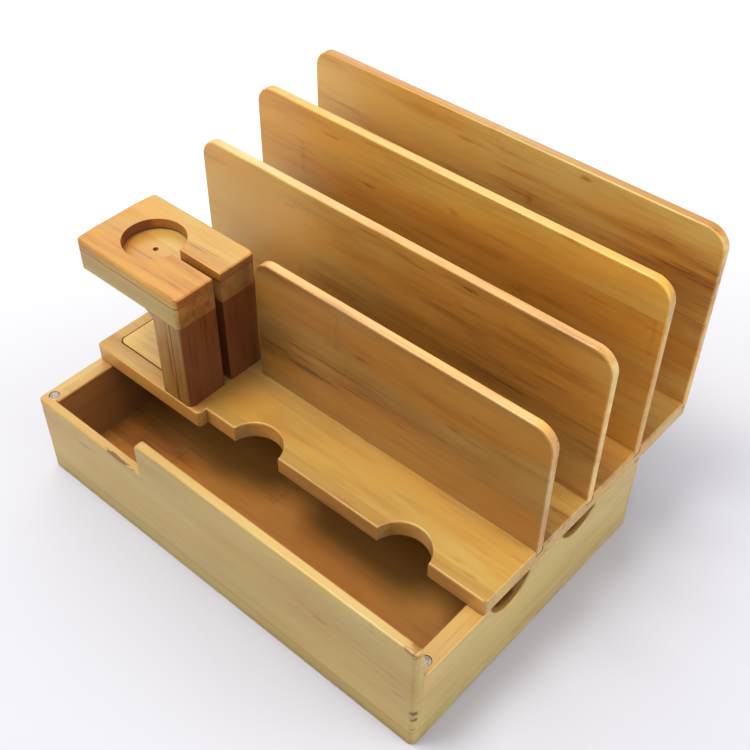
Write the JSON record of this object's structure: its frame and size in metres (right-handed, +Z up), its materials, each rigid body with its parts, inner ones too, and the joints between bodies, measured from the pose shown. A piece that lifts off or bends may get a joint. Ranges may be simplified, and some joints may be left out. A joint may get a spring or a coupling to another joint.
{
  "type": "charging station organizer",
  "caption": "Bamboo desk case for a charger, with a lid that slides back, upright boards that part the devices, cable cut-outs, and a lift-out stand for a watch charger.",
  "frame": {"origin": "centre of the case's underside, on the table", "axes": "+X along the front to the right, +Y to the back, +Z up"},
  "size_m": [0.25, 0.21, 0.162],
  "materials": {
    "case_bamboo": "clear satin lacquer over bamboo",
    "lid_bamboo": "clear satin lacquer over bamboo",
    "divider_bamboo": "clear satin lacquer over bamboo",
    "arm_bamboo": "clear satin lacquer over bamboo",
    "post_bamboo": "clear satin lacquer over bamboo",
    "plate_bamboo": "clear satin lacquer over bamboo",
    "dowel_wood": "raw wood",
    "screw_steel": "zinc-plated steel",
    "magnet_plating": "nickel-plated magnet"
  },
  "bodies": {
    "case": {"bottom_board": "case_bamboo", "front_wall": "case_bamboo", "back_wall": "case_bamboo", "left_wall": "case_bamboo", "right_wall": "case_bamboo", "case_screws": "screw_steel", "case_magnets": "magnet_plating"},
    "lid": {"lid_board": "lid_bamboo", "lid_magnets": "magnet_plating", "front_divider": "divider_bamboo", "second_divider": "divider_bamboo", "third_divider": "divider_bamboo", "rear_divider": "divider_bamboo"},
    "watch_stand": {"arm_top": "arm_bamboo", "arm_base": "arm_bamboo", "post_inner": "post_bamboo", "post_outer": "post_bamboo", "arm_dowels": "dowel_wood", "foot_plate": "plate_bamboo", "stand_screws": "screw_steel"}
  },
  "joints": [
    {"name": "lid_slide", "type": "slide", "parent": "case", "child": "lid", "axis": [0, 1, 0], "range_m": [-0.04, 0.03]},
    {"name": "stand_lift", "type": "slide", "parent": "lid", "child": "watch_stand", "axis": [0, 0, 1], "range_m": [0, 0.03]}
  ]
}
